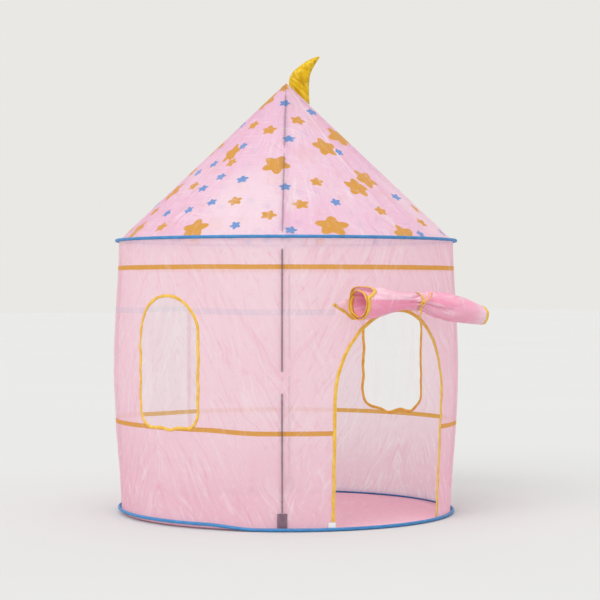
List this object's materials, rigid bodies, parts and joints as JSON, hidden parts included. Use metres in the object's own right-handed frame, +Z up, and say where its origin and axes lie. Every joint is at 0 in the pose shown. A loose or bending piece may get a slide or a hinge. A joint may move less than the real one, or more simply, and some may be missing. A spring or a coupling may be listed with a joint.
{
  "type": "kids play tent",
  "caption": "Round castle play tent: cloth drum on sprung hoops, pointed roof on jointed rods, arched doorway with a rolled flap, net windows and a stuffed moon on top.",
  "frame": {"origin": "middle of the floor sheet's underside", "axes": "+Z up along the tent's axis; the doorway faces -Y"},
  "size_m": [1.0454, 1.1367, 1.3936],
  "materials": {
    "pink_polyester": "thin woven polyester with a slight sheen",
    "floor_polyester": "coated woven polyester",
    "blue_tape": "folded binding tape",
    "yellow_tape": "satin binding tape and ribbon",
    "window_net": "fine polyester netting",
    "spring_wire": "plain spring steel wire",
    "fibreglass_rod": "solid fibreglass rod",
    "white_fitting": "moulded polypropylene",
    "webbing": "doubled dark webbing",
    "yellow_satin": "stuffed satin"
  },
  "bodies": {
    "tent": {"wall_cloth": "pink_polyester", "roof_cloth": "pink_polyester", "wall_sleeve_1": "pink_polyester", "wall_sleeve_2": "pink_polyester", "wall_sleeve_3": "pink_polyester", "wall_sleeve_4": "pink_polyester", "roof_sleeve_1": "pink_polyester", "roof_sleeve_2": "pink_polyester", "roof_sleeve_3": "pink_polyester", "roof_sleeve_4": "pink_polyester", "floor_sheet": "floor_polyester", "base_binding": "blue_tape", "eave_binding": "blue_tape", "door_binding": "yellow_tape", "left_window_binding": "yellow_tape", "back_window_binding": "yellow_tape", "left_window_net": "window_net", "back_window_net": "window_net", "base_hoop": "spring_wire", "eave_hoop": "spring_wire", "base_hoop_crimp": "spring_wire", "eave_hoop_crimp": "spring_wire", "wall_rod_lower_1": "fibreglass_rod", "wall_rod_lower_2": "fibreglass_rod", "wall_rod_lower_3": "fibreglass_rod", "wall_rod_lower_4": "fibreglass_rod", "wall_rod_upper_1": "fibreglass_rod", "wall_rod_upper_2": "fibreglass_rod", "wall_rod_upper_3": "fibreglass_rod", "wall_rod_upper_4": "fibreglass_rod", "roof_rod_lower_1": "fibreglass_rod", "roof_rod_lower_2": "fibreglass_rod", "roof_rod_lower_3": "fibreglass_rod", "roof_rod_lower_4": "fibreglass_rod", "roof_rod_upper_1": "fibreglass_rod", "roof_rod_upper_2": "fibreglass_rod", "roof_rod_upper_3": "fibreglass_rod", "roof_rod_upper_4": "fibreglass_rod", "wall_ferrule_1": "white_fitting", "wall_ferrule_2": "white_fitting", "wall_ferrule_3": "white_fitting", "wall_ferrule_4": "white_fitting", "roof_ferrule_1": "white_fitting", "roof_ferrule_2": "white_fitting", "roof_ferrule_3": "white_fitting", "roof_ferrule_4": "white_fitting", "eave_elbow_1": "white_fitting", "eave_elbow_2": "white_fitting", "eave_elbow_3": "white_fitting", "eave_elbow_4": "white_fitting", "apex_hub": "white_fitting", "foot_pocket_1": "webbing", "foot_pocket_2": "webbing", "foot_pocket_3": "webbing", "foot_pocket_4": "webbing", "moon": "yellow_satin"},
    "door_roll": {"door_flap_roll": "pink_polyester", "door_flap_binding": "yellow_tape", "tie_ribbon": "yellow_tape"},
    "tie_end": {"tie_tail": "yellow_tape"}
  },
  "joints": [
    {"name": "door_roll_swing", "type": "hinge", "parent": "tent", "child": "door_roll", "pos_m": [0, -0.51552, 0.619], "axis": [1, 0, 0], "range_deg": [0, 60]},
    {"name": "tie_end_swing", "type": "hinge", "parent": "door_roll", "child": "tie_end", "pos_m": [0.02, -0.59232, 0.62906], "axis": [1, 0, 0], "range_deg": [-60, 20]}
  ]
}
